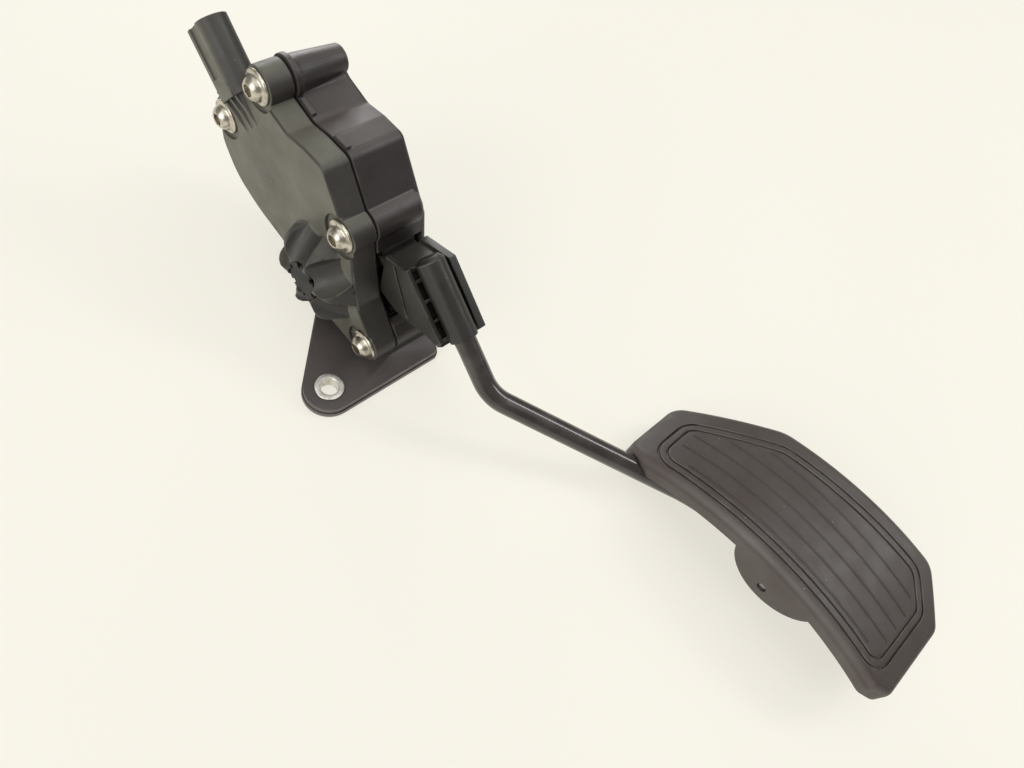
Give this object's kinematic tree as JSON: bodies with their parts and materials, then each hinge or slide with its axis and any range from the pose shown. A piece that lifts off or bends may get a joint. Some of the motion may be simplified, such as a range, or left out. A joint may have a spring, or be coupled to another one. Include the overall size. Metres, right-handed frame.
{
  "type": "accelerator pedal",
  "caption": "Car accelerator pedal with a black moulded sensor housing, a bent steel rod and a bowed ribbed pad.",
  "frame": {"origin": "axis of the lower bolt hole, on the mounting face that lies against the wall", "axes": "+X along the pivot from the side cover to the housing's back, +Y up the wall towards the connector, +Z out of the wall towards the driver"},
  "size_m": [0.1358, 0.3107, 0.0902],
  "materials": {
    "housing_plastic": "moulded, satin",
    "cover_plastic": "moulded, fine grain",
    "pad_plastic": "moulded, dull",
    "rod_paint": "black, semi-gloss",
    "plated_steel": "bright zinc",
    "plain_steel": "ground",
    "terminal_brass": "tinned",
    "seal_rubber": "matte",
    "bush_polymer": "natural",
    "circuit_board": "lacquered",
    "chip_plastic": "moulded",
    "magnet": "sintered"
  },
  "bodies": {
    "housing": {"main_housing": "housing_plastic", "side_cover": "cover_plastic", "cover_gasket": "seal_rubber", "cover_screws": "plated_steel", "hub_cap": "cover_plastic", "pivot_bush_left": "bush_polymer", "pivot_bush_right": "bush_polymer", "sensor_board": "circuit_board", "sensor_chips": "chip_plastic", "connector_terminals": "terminal_brass", "idle_stop_bumper": "seal_rubber", "full_stop_bumper": "seal_rubber", "mount_bush_lower": "plated_steel", "mount_bush_upper": "plated_steel", "return_spring_outer": "plain_steel", "return_spring_inner": "plain_steel"},
    "pedal": {"lever_carrier": "housing_plastic", "pedal_rod": "rod_paint", "pedal_pad": "pad_plastic", "pad_pin": "plain_steel", "pivot_shaft": "plain_steel", "shaft_ring": "plain_steel", "friction_washer": "bush_polymer", "sensor_rotor": "bush_polymer", "rotor_magnets": "magnet", "spring_seat": "bush_polymer"}
  },
  "joints": [
    {"name": "pedal_pivot", "type": "hinge", "parent": "housing", "child": "pedal", "pos_m": [0.035, 0.0285, 0.032], "axis": [1, 0, 0], "range_deg": [0, 16], "stiffness_Nm_per_rad": 7.9, "springref_deg": -24.06, "deforming": ["return_spring_outer", "return_spring_inner"]}
  ]
}
